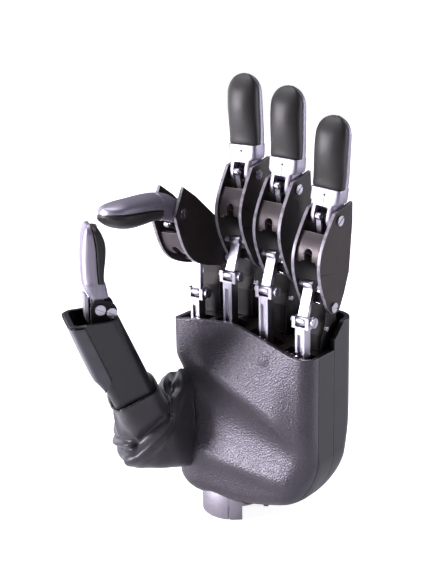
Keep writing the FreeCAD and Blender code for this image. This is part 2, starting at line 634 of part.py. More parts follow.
def thumb_boot():
    """Soft gaiter around the thumb's hinge and the palm's corner, open for the tube and the arm."""
    ball = Part.makeSphere(BOOT_R, THUMB_HINGE)
    low = Vector(SWING.x, SWING.y, COLLAR_Z[0])
    tall = COLLAR_Z[1] - COLLAR_Z[0]
    reach = THUMB_HINGE - SWING
    collar = Part.makeCylinder(COLLAR_R[1], tall, low, Vector(0, 0, 1), COLLAR_SPAN)
    collar.rotate(low, Vector(0, 0, 1), math.degrees(math.atan2(reach.y, reach.x)) - COLLAR_SPAN / 2)
    collar = collar.cut(Part.makeCylinder(COLLAR_R[0], tall, low))
    boot = ball.fuse(collar).cut(Part.makeSphere(BOOT_R - BOOT_WALL, THUMB_HINGE))
    frame = thumb_frame()
    for swing in (2, -9, -18, -27, -36):
        opening = rounded_block(TUBE_X + 1.0, TUBE_Y + 1.0, TUBE_CORNER, -2.0, 40)
        turned = placed(opening, Placement(Vector(), Rotation(Vector(1, 0, 0), swing)))
        boot = boot.cut(placed(turned, frame))
    return boot.cut(Part.makeCylinder(5.0, reach.Length, SWING, reach))


# ---------------------------------------------------------------- assembly
def finger_nodes(name):
    finger = FINGERS[name]
    knuckle = Placement(finger["knuckle"], Rotation(Vector(0, 1, 0), finger["splay"]))
    bent = knuckle.multiply(Placement(Vector(), Rotation(Vector(1, 0, 0), finger["bend"])))
    tip = bent.multiply(Placement(Vector(0, TIP_AXLE_Y, PHALANX),
                                  Rotation(Vector(1, 0, 0), tip_bend(finger["bend"]))))
    return {
        "radial_plate": placed(side_plate(-1), bent),
        "ulnar_plate": placed(side_plate(1), bent),
        "bridge": placed(bridge(), bent),
        "screws": placed(finger_screws(), bent),
        "tip_shell": placed(tip_shell(), tip),
        "tip_pad": placed(tip_pad(), tip),
        "drive_rod": placed(drive_rod(finger["bend"]), Placement(finger["knuckle"], Rotation())),
        "drive_link": placed(drive_link(finger["bend"]), Placement(finger["knuckle"], Rotation())),
        "coupling_link": placed(coupling_link(finger["bend"]), bent),
    }


def all_nodes():
    nodes = {}
    for name in FINGERS:
        for piece, shape in finger_nodes(name).items():
            nodes[f"{name}_{piece}"] = shape
    nodes.update(palm_covers())
    nodes["knuckle_deck"] = deck()
    nodes["knuckle_brackets"] = Part.makeCompound([knuckle_bracket(n) for n in FINGERS])
    nodes["knuckle_axles"] = Part.makeCompound([s for n in FINGERS for s in knuckle_axle(n)])
    nodes["palm_chassis"] = chassis()
    nodes["finger_motors"] = Part.makeCompound(finger_motors())
    nodes["control_board"] = control_board()
    nodes["deck_screws"] = Part.makeCompound(deck_screws())
    nodes["wrist_coupling"] = wrist_coupling()
    nodes["wrist_bearing"] = wrist_bearing()
    nodes["wrist_plug"] = wrist_plug()
    nodes["thumb_base"] = thumb_base()
    nodes["thumb_tube"] = thumb_tube()
    nodes["thumb_rail"] = thumb_rail()
    nodes["thumb_pin"] = thumb_pin()
    nodes["thumb_motor"] = thumb_motor()
    nodes["thumb_clevis"] = thumb_clevis()
    nodes["thumb_screws"] = Part.makeCompound(thumb_screws())
    nodes["thumb_tip_shell"] = thumb_tip_shell()
    nodes["thumb_tip_pad"] = thumb_tip_pad()
    nodes["thumb_lever"] = thumb_lever()
    nodes["thumb_boot"] = thumb_boot()
    return nodes


os.makedirs("parts", exist_ok=True)
for node, shape in all_nodes().items():
    shape.exportStep(f"parts/{node}.step")
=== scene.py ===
"""Looks of a powered prosthetic left hand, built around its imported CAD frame.

Shapes are written in millimetres, like the CAD, and become metres in mesh_piece(). +Z runs from
the wrist to the fingers, -Y is the palm side and -X is the thumb side.
"""
import json
import math

import bmesh
import bpy
import numpy as np
from mathutils import Matrix, Vector, noise


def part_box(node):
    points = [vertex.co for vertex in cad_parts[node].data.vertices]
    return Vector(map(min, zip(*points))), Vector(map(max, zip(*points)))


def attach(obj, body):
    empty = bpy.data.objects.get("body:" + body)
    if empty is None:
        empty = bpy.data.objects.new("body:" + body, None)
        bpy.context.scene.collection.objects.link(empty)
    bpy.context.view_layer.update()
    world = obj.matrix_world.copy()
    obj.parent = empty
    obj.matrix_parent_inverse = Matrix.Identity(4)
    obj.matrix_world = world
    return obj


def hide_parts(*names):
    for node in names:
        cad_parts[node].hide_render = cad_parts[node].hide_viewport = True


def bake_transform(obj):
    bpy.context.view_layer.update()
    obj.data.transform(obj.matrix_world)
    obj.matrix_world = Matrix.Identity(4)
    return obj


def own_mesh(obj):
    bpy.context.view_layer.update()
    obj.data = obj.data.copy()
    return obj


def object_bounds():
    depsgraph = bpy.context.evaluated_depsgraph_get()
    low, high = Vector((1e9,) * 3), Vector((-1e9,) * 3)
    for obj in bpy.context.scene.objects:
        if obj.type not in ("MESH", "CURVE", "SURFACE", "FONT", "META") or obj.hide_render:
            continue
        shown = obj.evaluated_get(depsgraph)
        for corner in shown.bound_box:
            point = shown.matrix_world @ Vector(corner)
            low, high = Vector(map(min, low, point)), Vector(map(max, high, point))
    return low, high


MM = 0.001
FINGERS = ("index", "middle", "ring", "little")

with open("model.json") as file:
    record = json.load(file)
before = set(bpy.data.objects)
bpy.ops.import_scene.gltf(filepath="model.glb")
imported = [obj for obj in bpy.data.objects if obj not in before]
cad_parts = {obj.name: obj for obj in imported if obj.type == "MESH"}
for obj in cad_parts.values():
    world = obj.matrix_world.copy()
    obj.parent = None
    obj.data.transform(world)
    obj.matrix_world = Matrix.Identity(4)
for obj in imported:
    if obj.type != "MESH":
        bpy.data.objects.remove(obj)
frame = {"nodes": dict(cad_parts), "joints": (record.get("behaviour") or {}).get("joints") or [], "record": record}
cad_low, cad_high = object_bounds()
NODES = frame["nodes"]
JOINTS = {joint["name"]: joint for joint in frame["joints"]}


# ---------------------------------------------------------------- materials
class Shader:
    """A principled material whose colour, roughness and bump come from procedural nodes."""

    def __init__(self, name):
        self.material = bpy.data.materials.new(name)
        self.material.use_nodes = True
        self.tree = self.material.node_tree
        self.bsdf = self.tree.nodes["Principled BSDF"]
        self.place = self.node("ShaderNodeTexCoord").outputs["Object"]
        self.normal = None

    def node(self, kind, **settings):
        made = self.tree.nodes.new(kind)
        for key, value in settings.items():
            setattr(made, key, value)
        return made

    def feed(self, socket, value):
        if isinstance(value, bpy.types.NodeSocket):
            self.tree.links.new(value, socket)
        else:
            socket.default_value = value

    def maths(self, operation, a, b=0.0, clamp=False):
        node = self.node("ShaderNodeMath", operation=operation, use_clamp=clamp)
        self.feed(node.inputs[0], a)
        self.feed(node.inputs[1], b)
        return node.outputs[0]

    def ramp(self, value, low, high):
        """0 below low, 1 above high, smooth between."""
        node = self.node("ShaderNodeMapRange", interpolation_type="SMOOTHSTEP")
        self.feed(node.inputs["Value"], value)
        node.inputs["From Min"].default_value = low
        node.inputs["From Max"].default_value = high
        return node.outputs["Result"]

    def mix(self, factor, a, b):
        node = self.node("ShaderNodeMix", data_type="RGBA")
        self.feed(node.inputs[0], factor)
        for socket, value in ((node.inputs[6], a), (node.inputs[7], b)):
            self.feed(socket, value if isinstance(value, bpy.types.NodeSocket) else (*value, 1))
        return node.outputs[2]

    def noise(self, size_mm, detail=3.0, stretch=(1, 1, 1), source=None):
        """Noise with features about size_mm across, longer by stretch along each axis."""
        mapping = self.node("ShaderNodeMapping")
        self.feed(mapping.inputs["Vector"], source or self.place)
        mapping.inputs["Scale"].default_value = [1 / (size_mm * MM * s) for s in stretch]
        noise = self.node("ShaderNodeTexNoise")
        noise.inputs["Scale"].default_value = 1.0
        noise.inputs["Detail"].default_value = detail
        self.feed(noise.inputs["Vector"], mapping.outputs["Vector"])
        return noise.outputs["Fac"]

    def cells(self, size_mm):
        """Rounded pebbles about size_mm across: 0 at their middles, growing to their borders."""
        cell = self.node("ShaderNodeTexVoronoi", feature="SMOOTH_F1")
        cell.inputs["Scale"].default_value = 1 / (size_mm * MM)
        self.feed(cell.inputs["Vector"], self.place)
        return cell.outputs["Distance"]

    def edges(self, radius_mm):
        """1 on convex and concave edges, 0 on flat faces."""
        bevel = self.node("ShaderNodeBevel", samples=4)
        bevel.inputs["Radius"].default_value = radius_mm * MM
        flat = self.node("ShaderNodeNewGeometry")
        dot = self.node("ShaderNodeVectorMath", operation="DOT_PRODUCT")
        self.feed(dot.inputs[0], bevel.outputs["Normal"])
        self.feed(dot.inputs[1], flat.outputs["Normal"])
        return self.ramp(self.maths("SUBTRACT", 1.0, dot.outputs["Value"]), 0.01, 0.14)

    def bump(self, height, depth_mm, strength=1.0):
        node = self.node("ShaderNodeBump")
        node.inputs["Distance"].default_value = depth_mm * MM
        node.inputs["Strength"].default_value = strength
        self.feed(node.inputs["Height"], height)
        if self.normal is not None:
            self.feed(node.inputs["Normal"], self.normal)
        self.normal = node.outputs["Normal"]
        self.feed(self.bsdf.inputs["Normal"], self.normal)

    def done(self, colour, roughness, **others):
        self.feed(self.bsdf.inputs["Base Color"],
                  colour if isinstance(colour, bpy.types.NodeSocket) else (*colour, 1))
        self.feed(self.bsdf.inputs["Roughness"], roughness)
        for key, value in others.items():
            self.feed(self.bsdf.inputs[key.replace("_", " ")], value)
        return self.material


def spread(shader, value, low, high):
    """A 0 to 1 value stretched to low to high."""
    return shader.maths("ADD", shader.maths("MULTIPLY", value, high - low), low)


def coated_metal(name, colour, wear_and_highlight_colour, roughness=0.42, rim=0.0):
    """Anodised or painted metal: fine speckle, and lighter edges where the coat is rubbed through.

    With rim above 0, the narrow faces of a plate that stands across X take the lighter colour too, patchy with
    noise: a painted highlight along the plate's rims.
    """
    s = Shader(name)
    speckle = s.noise(0.35, 4)
    cloud = s.noise(9.0, 3)
    body = s.mix(s.ramp(cloud, 0.3, 0.7), colour, [c * 1.35 for c in colour])
    edge = s.maths("MULTIPLY", s.edges(0.35), s.ramp(s.noise(1.2, 3), 0.25, 0.6))
    tone = s.mix(edge, body, wear_and_highlight_colour)
    if rim > 0:
        split = s.node("ShaderNodeSeparateXYZ")
        s.feed(split.inputs[0], s.node("ShaderNodeNewGeometry").outputs["Normal"])
        narrow = s.ramp(s.maths("ABSOLUTE", split.outputs[0]), 0.75, 0.35)
        # Painted highlight: the plate's narrow faces, patchy with noise, are lightened in colour.
        rim_highlight = s.maths("MULTIPLY", narrow, spread(s, s.ramp(s.noise(3.0, 3), 0.3, 0.6), 0.5, 1.0))
        tone = s.mix(s.maths("MULTIPLY", rim_highlight, rim), tone, wear_and_highlight_colour)
    s.bump(speckle, 0.02)
    return s.done(tone, spread(s, speckle, roughness - 0.06, roughness + 0.12), Metallic=0.35)


def bare_metal(name, colour, roughness, stretch=(1, 1, 1), grain=0.25, shade=0.72, source=None):
    """Bright metal with fine tool marks, longer along one axis when stretch says so."""
    s = Shader(name)
    lines = s.noise(grain, 4, stretch, source)
    stain = s.noise(6.0, 3)
    tone = s.mix(s.ramp(lines, 0.3, 0.7), [c * shade for c in colour], colour)
    tone = s.mix(s.ramp(stain, 0.45, 0.8), tone, [c * 0.86 for c in colour])
    s.bump(lines, 0.012)
    return s.done(tone, spread(s, lines, roughness - 0.05, roughness + 0.12), Metallic=1.0)


def moulded(name, colour, roughness, pebble=0.8, depth=0.03, sheen=0.0, coat=0.0):
    """Moulded plastic or rubber: a soft pebble grain over slight clouds of tone."""
    s = Shader(name)
    grain = s.cells(pebble)
    fine = s.noise(pebble * 0.4, 3)
    cloud = s.noise(14.0, 3)
    tone = s.mix(s.ramp(cloud, 0.3, 0.72), colour, [c * 1.4 for c in colour])
    # Painted highlight: every edge is lightened in colour.
    tone = s.mix(s.maths("MULTIPLY", s.edges(0.5), 0.35), tone, [c * 3 + 0.02 for c in colour])
    s.bump(grain, depth)
    s.bump(fine, depth * 0.6)
    return s.done(tone, spread(s, fine, roughness - 0.06, roughness + 0.1),
                  Sheen_Weight=sheen, Sheen_Roughness=0.4, Coat_Weight=coat, Coat_Roughness=0.12)


def leather(name, colour):
    """Grained palm skin: fine pebbles that sparkle in the light, with lighter specks painted in as glints, over
    rubbed clouds of tone.
    """
    s = Shader(name)
    pebble = s.cells(0.65)
    crease = s.noise(0.5, 4)
    cloud = s.noise(18.0, 4)
    tone = s.mix(s.ramp(cloud, 0.3, 0.7), colour, [c * 1.5 for c in colour])
    # Painted glints: small specks lightened in colour, standing in for the grain's sparkle in the light.
    tone = s.mix(s.maths("MULTIPLY", s.ramp(s.noise(0.9, 2), 0.5, 0.66), 0.35), tone,
                 [c * 2.6 for c in colour])
    s.bump(pebble, 0.2)
    s.bump(crease, 0.1)
    return s.done(tone, spread(s, crease, 0.3, 0.46), Sheen_Weight=0.1, Sheen_Roughness=0.35,
                  Specular_IOR_Level=1.0, Specular_Tint=(0.9, 0.87, 1.0, 1))


def make_materials():
    """Every material by its name, which is also its slot in the record."""
    return {
        "plate_black": coated_metal("plate_black", (0.026, 0.018, 0.017), (0.42, 0.4, 0.46), rim=0.75),
        "bridge_brown": coated_metal("bridge_brown", (0.065, 0.052, 0.055), (0.5, 0.47, 0.5), 0.36),
        "chrome_screw": bare_metal("chrome_screw", (0.72, 0.7, 0.78), 0.2, grain=0.4),
        "finger_aluminium": bare_metal("finger_aluminium", (0.44, 0.41, 0.49), 0.46,
                                       (0.35, 0.35, 60), grain=0.9, shade=0.72),
        "pad_rubber": moulded("pad_rubber", (0.016, 0.0145, 0.0135), 0.46, 0.5, 0.02, sheen=0.12),
        "rod_steel": bare_metal("rod_steel", (0.62, 0.6, 0.68), 0.3, (1, 1, 40)),
        "palm_skin": leather("palm_skin", (0.024, 0.02, 0.024)),
        "cover_satin": moulded("cover_satin", (0.012, 0.011, 0.014), 0.34, 0.4, 0.01, coat=0.15),
        "deck_gloss": moulded("deck_gloss", (0.014, 0.009, 0.008), 0.12, 2.0, 0.01, coat=0.7),
        "bracket_black": coated_metal("bracket_black", (0.007, 0.005, 0.005), (0.35, 0.33, 0.37), 0.5),
        "chassis_aluminium": bare_metal("chassis_aluminium", (0.5, 0.5, 0.53), 0.35),
        "motor_steel": bare_metal("motor_steel", (0.5, 0.5, 0.53), 0.3, (1, 1, 30)),
        "board_green": moulded("board_green", (0.01, 0.09, 0.03), 0.25, 1.5, 0.01, coat=0.4),
        "coupling_grey": bare_metal("coupling_grey", (0.5, 0.47, 0.53), 0.5, grain=0.4),
        "plug_brass": bare_metal("plug_brass", (0.8, 0.6, 0.28), 0.25),
        "boot_rubber": moulded("boot_rubber", (0.024, 0.021, 0.027), 0.38, 0.5, 0.02, sheen=0.3),
        "rail_grey": moulded("rail_grey", (0.045, 0.042, 0.052), 0.28, 0.45, 0.015, coat=0.3),
        "tube_black": moulded("tube_black", (0.008, 0.007, 0.008), 0.36, 0.7, 0.05, coat=0.1),
    }


# ---------------------------------------------------------------- mesh helpers
def mesh_piece(name, vertices, faces, place=None, smooth=True):
    """Object from vertices in millimetres, in the frame given by place (a matrix in mm)."""
    points = [Vector(v) for v in vertices]
    if place is not None:
        points = [place @ p for p in points]
    data = bpy.data.meshes.new(name)
    data.from_pydata([p * MM for p in points], [], faces)
    data.validate()
    piece = bpy.data.objects.new(name, data)
    bpy.context.scene.collection.objects.link(piece)
    work = bmesh.new()
    work.from_mesh(data)
    bmesh.ops.recalc_face_normals(work, faces=work.faces)
    work.to_mesh(data)
    work.free()
    for polygon in data.polygons:
        polygon.use_smooth = smooth
    return piece


def add_modifier(piece, kind, **settings):
    made = piece.modifiers.new(kind.lower(), kind)
    for key, value in settings.items():
        setattr(made, key, value)
    return made


def apply_modifiers(piece):
    """Bakes the modifiers of one of this script's own pieces into its mesh."""
    graph = bpy.context.evaluated_depsgraph_get()
    made = bpy.data.meshes.new_from_object(piece.evaluated_get(graph))
    piece.modifiers.clear()
    piece.data = made


def bevel(piece, width, angle=30, segments=2):
    """Rounds the edges that are sharper than angle, by width in millimetres."""
    add_modifier(piece, "BEVEL", width=width * MM, segments=segments, limit_method="ANGLE",
                 angle_limit=math.radians(angle))
    apply_modifiers(piece)


def dress(piece, material, sharp=None):
    """Gives the piece its one material, whose name is also the record's slot.

    Edges that are sharper than sharp degrees are shaded as creases.
    """
    if sharp is not None:
        piece.data.set_sharp_from_angle(angle=math.radians(sharp))
    piece.data.materials.clear()
    piece.data.materials.append(MATERIALS[material])


def stand_for(piece, node, body):
    """The piece moves with the body and is shown instead of the CAD node."""
    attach(piece, body)
    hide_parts(node)


def through(rows, steps):
    """Smooth curve through rows of numbers, with steps points between each two rows."""
    rows = np.array(rows, dtype=float)
    padded = np.vstack([2 * rows[0] - rows[1], rows, 2 * rows[-1] - rows[-2]])
    out = []
    for i in range(1, len(padded) - 2):
        a, b, c, d = padded[i - 1:i + 3]
        for t in np.linspace(0, 1, steps, endpoint=False):
            out.append(0.5 * (2 * b + (c - a) * t + (2 * a - 5 * b + 4 * c - d) * t * t
                              + (3 * b - a - 3 * c + d) * t ** 3))
    out.append(rows[-1])
    return np.array(out)


def at_height(profile, z):
    """Value of a (value, z) profile at height z, by its smooth curve."""
    curve = through(sorted(profile, key=lambda p: p[1]), 8)
    return float(np.interp(z, curve[:, 1], curve[:, 0]))


def ring_faces(rings, spokes):
    """Faces between rings of points, each ring closed on itself."""
    faces = []
    for i in range(rings - 1):
        for j in range(spokes):
            k = (j + 1) % spokes
            faces.append((i * spokes + j, i * spokes + k, (i + 1) * spokes + k, (i + 1) * spokes + j))
    return faces


def signed_power(value, power):
    """Power with the sign kept. Below 1 it turns the cosine and sine of a circle into a squarer oval."""
    return math.copysign(abs(value) ** power, value)


def bent_oval(t, width, front, middle, back, front_power, back_power):
    """Point of a section whose front and back halves are superellipses of different powers."""
    c, s = math.cos(t), math.sin(t)
    power, depth = (back_power, back - middle) if s > 0 else (front_power, middle - front)
    return width * signed_power(c, 2 / power), middle + depth * signed_power(s, 2 / power)


def loft(rows, spokes=48):
    """Closed body through rows of (z, half width, front, middle, back, front power, back power)."""
    vertices = []
    for z, width, *section in rows:
        for j in range(spokes):
            x, y = bent_oval(2 * math.pi * j / spokes, width, *section)
            vertices.append((x, y, z))
    faces = ring_faces(len(rows), spokes)
    faces.append(tuple(reversed(range(spokes))))
    faces.append(tuple(range((len(rows) - 1) * spokes, len(rows) * spokes)))
    return vertices, faces


def box_shape(low, high):
    """Vertices and faces of a box, used to cut openings."""
    corners = [(x, y, z) for x in (low[0], high[0]) for y in (low[1], high[1])
               for z in (low[2], high[2])]
    faces = [(0, 1, 3, 2), (4, 6, 7, 5), (0, 4, 5, 1), (2, 3, 7, 6), (0, 2, 6, 4), (1, 5, 7, 3)]
    return corners, faces


def round_hole(axis, centre, radius, span, sides=32):
    """Cylinder along an axis (0, 1 or 2) over span, centred on the other two coordinates."""
    vertices = []
    for depth in span:
        for j in range(sides):
            turn = 2 * math.pi * j / sides
            point = [centre[0] + radius * math.cos(turn), centre[1] + radius * math.sin(turn)]
            point.insert(axis, depth)
            vertices.append(tuple(point))
    faces = ring_faces(2, sides) + [tuple(range(sides))[::-1], tuple(range(sides, 2 * sides))]
    return vertices, faces


def combine(piece, tool, operation, solver="EXACT"):
    """Joins the tool to the piece or cuts it out, then removes the tool."""
    add_modifier(piece, "BOOLEAN", operation=operation, solver=solver, object=tool)
    apply_modifiers(piece)
    bpy.data.objects.remove(tool, do_unlink=True)


def cut(piece, shape, place=None, solver="EXACT"):
    """Cuts a closed shape, given as vertices and faces, out of the piece."""
    combine(piece, mesh_piece("cutter", *shape, place, smooth=False), "DIFFERENCE", solver)


# ---------------------------------------------------------------- fingertips
BEND = {"index": 47.5, "middle": 0.0, "ring": 0.0, "little": 0.0}   # knuckle bend at rest
TIP_RATIO = 0.75
TIP_LEAN = -3.0
TIP_LENGTH = 44.5
TIP_HALF = 7.4
NECK_HALF = 5.65
NECK_TOP = 7.0              # the fingertip reaches its full width above this height
ROUND_FROM = 36.0           # height where the fingertip starts to round off
PAD_FOOT = 13.2
PAD_SEAM = 0.08
PAD_PROUD = 0.2             # the pad is this much wider than the shell on each side
LAST_TURN = math.pi / 2 - 0.06      # the last ring of a rounded end, just short of its pole
AXLE_HOLE_R = 1.56
WINDOW_HALF = 3.1
PAD_SPOKES = 56
AXLE_HOLE = round_hole(0, (0, 0), AXLE_HOLE_R, (-12, 12))
# Place along the axle and radius at each step of the bushing.
BUSHING = [(-3.0, 2.5), (-2.9, 2.75), (-1.7, 2.8), (-1.5, 2.5), (-1.3, 2.8), (1.3, 2.8), (1.5, 2.5),
           (1.7, 2.8), (2.9, 2.75), (3.0, 2.5)]
# Profiles of a fingertip: (y, height) from its axle, with +y to its back.
TIP_BACK = [(4.6, -2.6), (6.6, 1.2), (8.8, 7.0), (8.8, 16.3), (7.2, 27.5), (5.8, 35.9), (3.4, 43.0),
            (2.0, 44.5)]
TIP_SPLIT = [(0.2, 44.5), (0.7, 33.0), (1.7, 19.6), (1.6, 13.0)]
NECK_FRONT = [(-3.4, -2.4), (-4.2, -0.8), (-4.1, 2.6), (-3.2, 6.6), (-2.6, 13.1)]
PAD_FRONT = [(-3.1, 13.2), (-3.6, 17.0), (-5.2, 24.2), (-6.0, 30.5), (-5.4, 37.0), (-3.3, 41.5),
             (-1.0, 44.0)]


def basis(origin, across, back, along):
    """Matrix of a frame with these axes at origin."""
    turn = Matrix((across, back, along)).transposed().to_4x4()
    return Matrix.Translation(origin) @ turn


def joint_place(name):
    """A joint's place in millimetres, and its axis."""
    return Vector(JOINTS[name]["pos_m"]) / MM, Vector(JOINTS[name]["axis"])


def tip_frame(finger):
    """Frame of a fingertip: x across it, +y its back and z along it."""
    origin, across = joint_place(f"{finger}_tip_flex")
    bend = BEND[finger] * (1 + TIP_RATIO) + TIP_LEAN
    turn = Matrix.Rotation(math.radians(bend), 3, across)
    back = turn @ Vector((0, 1, 0))
    return basis(origin, across, back, across.cross(back))


def rounding(z, start, end):
    """1 up to start, then falls like a quarter circle to 0 at end."""
    if z <= start:
        return 1.0
    return math.sqrt(max(0.0, 1 - ((z - start) / (end - start)) ** 2))


def tip_heights(low, high):
    """Heights for the rings of a fingertip, closer together where it rounds off."""
    straight = list(np.linspace(low, ROUND_FROM, 26))
    turns = [ROUND_FROM + (high - ROUND_FROM) * math.sin(a) for a in np.linspace(0, LAST_TURN, 14)]
    return straight + turns[1:]


def tip_shell_rows():
    """Sections of the silver back of a fingertip, from the neck up."""
    end = TIP_LENGTH - 0.5
    rows = []
    for z in (-2.6, -2.2, -1.0, 0.5, 2.0, 3.4, 4.8, 6.2):
        rows.append((z, NECK_HALF, at_height(NECK_FRONT, z), 2.0, at_height(TIP_BACK, z), 8.0, 3.0))
    for z in (6.8, 8.0, 10.0, 11.6, 12.95):
        width = TIP_HALF - 0.5 if z < NECK_TOP else TIP_HALF
        rows.append((z, width, at_height(NECK_FRONT, z), 2.6, at_height(TIP_BACK, z), 9.0, 2.6))
    for z in tip_heights(PAD_FOOT - 0.1, end):
        shrink = rounding(z, ROUND_FROM, end)
        back = at_height(TIP_BACK, z)
        split = at_height(TIP_SPLIT, z)
        middle = split + 1.6 * min(1.0, shrink * 1.6)
        rows.append((z, TIP_HALF * shrink, split, middle, max(back, middle + 0.2), 7.0, 2.05))
    return rows


def tip_pad_rows():
    """Sections of the soft pad, which is rounded at its foot, its sides and its end."""
    end = TIP_LENGTH - 0.1
    rows = []
    for z in [PAD_FOOT + d for d in (0.0, 0.15, 0.5, 1.1)] + tip_heights(PAD_FOOT + 2.2, end):
        foot = rounding(PAD_FOOT + 1.1 - z, 0.0, 1.15)
        shrink = rounding(z, ROUND_FROM, end)
        split = at_height(TIP_SPLIT, z) - PAD_SEAM
        front = at_height(PAD_FRONT, z)
        middle = split - 1.5 * min(1.0, shrink * 1.6)
        front = middle - (middle - front) * (0.72 + 0.28 * foot)
        width = (TIP_HALF + PAD_PROUD) * shrink * (0.955 + 0.045 * foot)
        rows.append((z, width, min(front, middle - 0.1), middle, split, 2.25, 7.0))
    return rows


def build_fingertip(finger):
    """Silver back with its window, slit and set screw hole, and the soft pad on it."""
    place = tip_frame(finger)
    shell = mesh_piece(f"{finger}_tip_back", *loft(tip_shell_rows()), place)
    window = box_shape((-WINDOW_HALF, -9, -6), (WINDOW_HALF, 1.0, 5.4))
    throat = box_shape((-WINDOW_HALF, -9, -6), (WINDOW_HALF, 7.6, 2.2))
    for tool in (window, throat, AXLE_HOLE):
        cut(shell, tool, place)
    bevel(shell, 0.18, 40)
    slit = box_shape((0.1, -9, 5.0), (0.45, -2.0, 9.9))
    dot = round_hole(1, (0.28, 10.4), 0.6, (-9, -1.9), 20)
    for tool in (slit, dot):
        cut(shell, tool, place)
    dress(shell, "finger_aluminium", 35)
    stand_for(shell, f"{finger}_tip_shell", f"{finger}_tip")
    pad = mesh_piece(f"{finger}_soft_pad", *loft(tip_pad_rows(), PAD_SPOKES), place)
    dress(pad, "pad_rubber", 60)
    stand_for(pad, f"{finger}_tip_pad", f"{finger}_tip")


def build_bushing(finger):
    """Dark sealed bushing around the fingertip's axle, seen through the window in its neck."""
    origin, across = joint_place(f"{finger}_tip_flex")
    side = Vector((0, 0, 1)).cross(across).normalized()
    place = basis(origin, side, across.cross(side), across)
    bushing = mesh_piece(f"{finger}_bushing", *loft([turned(x, r) for x, r in BUSHING], 40), place)
    cut(bushing, loft([turned(x, AXLE_HOLE_R) for x in (-9, 9)], 40), place)
    dress(bushing, "bracket_black", 40)
    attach(bushing, f"{finger}_proximal")


def turned(height, radius):
    """Round section for loft()."""
    return height, radius, -radius, 0.0, radius, 2.0, 2.0


# ---------------------------------------------------------------- palm covers
PALM_CENTRE = Vector((16.0, 1.0, 22.0))
PALM_HALF = (38.0, 19.0)
WALL = 2.2
SIDE_SEAM_Y = -10.0
BACK_SEAM_Y = 2.5
UNDER_SEAM_X = 42.0
SEAM = 0.3
WRIST_WELL = 17.2
SWING_AT = joint_place("thumb_swing")[0]
RIM_LINE = [(-34, 89.0), (-20, 90.0), (-8, 91.8), (10, 92.8), (20, 91.0), (37, 86.0), (46, 83.8),
            (58, 83.3)]
FLOOR_LINE = [(-28, 4.0), (-16, 1.4), (-2, 1.2), (15, 1.4), (28, 3.8), (41, 8.2), (50, 16.5), (56, 27.0)]
FLOOR_EDGE = 10.0           # height over which the flanks turn into the underside
THUMB_CORNER = 13.0         # corner radii of the palm's plan
FRONT_CORNER_LOSS = 8.5     # how much tighter the thumb side's corners become towards the rim
BACK_CORNER_LOSS = 6.0
LITTLE_CORNER = 6.5
LITTLE_CORNER_GAIN = 11     # how much wider the little finger's side becomes towards the wrist
FLARE = 3.8                 # how far the thumb's side swells out above the wrist
FLARE_HEIGHT = 11
ARM_SLOT = (1, 26, 31, 47, 148, 254)        # sector() in the palm for the thumb's arm
HEEL_FOOT = 20              # heights and swells of the palm's face
PALM_TOP = 92
FOOT_SWELL = 1.4
HEEL_SWELL = 3.4
HOLLOW_SWELL = -1.6
PAD_SWELL = 4.4
SWELL_SHIFTS = (-3.0, -1.5, 0.0, 1.5, 3.0)      # the swell is averaged over these heights
PALM_SPOKES = 216
PALM_LEVELS = 84
PALM_UNDER = 36
PALM_SQUARE = 0.45
PALM_REACH = 90.0           # longer than any ray from the palm's middle to its outside
HALVINGS = 18
TOP_ROUNDS = 4


def ease(value, low, high):
    """Smooth step from 0 at low to 1 at high, for numbers and arrays."""
    t = np.clip((value - low) / (high - low), 0, 1)
    return t * t * (3 - 2 * t)


def rim_height(x):
    """Height of the palm's open top across the hand."""
    curve = through(RIM_LINE, 6)
    return np.interp(x, curve[:, 0], curve[:, 1])


def swell_line(at, heel, hollow, upper):
    """Swell along one upright line, from the foot up to the heel, the hollow, the pad and the rim."""
    value = np.interp(at, [2, HEEL_FOOT], [0.4, FOOT_SWELL])
    climb = np.clip((at - HEEL_FOOT) / np.maximum(heel - HEEL_FOOT, 1), 0, 1)
    value = np.where(at > HEEL_FOOT, FOOT_SWELL + (HEEL_SWELL - FOOT_SWELL) * climb, value)
    drop = np.interp(at - heel, [0, 6, 16], [HEEL_SWELL, 0.6, HOLLOW_SWELL])
    value = np.where(at > heel, drop, value)
    rise = np.clip((at - hollow) / (upper - hollow), 0, 1)
    value = np.where(at > hollow, HOLLOW_SWELL + (PAD_SWELL - HOLLOW_SWELL) * rise ** 1.8, value)
    top = np.clip((at - upper) / (PALM_TOP - upper), 0, 1)
    return np.where(at > upper, PAD_SWELL - 6.2 * top, value)


def palm_swell(x, z):
    """How far the palm's face stands out: an upper pad, the hollow below it and the heel's ridge."""
    upper = 70.0 - 0.47 * x
    heel = 29.0 - 0.13 * (x + 13.0)
    hollow = heel + 0.5 * (upper - heel)
    lines = [swell_line(z + shift, heel, hollow, upper) for shift in SWELL_SHIFTS]
    total = sum(lines) / len(lines)
    high = ease(z, 44, 58)
    left = ease(x, -15, 5) * high + ease(x, -20, -6) * (1 - high)
    return total * left * (1 - 0.85 * ease(x, 36, 54)) + bump_at(x, z)


def bump_at(x, z):
    """Small lump under the skin below the ring finger."""
    return 0.7 * np.exp(-(((x - 30) / 2.6) ** 2 + ((z - 80) / 2.0) ** 2))


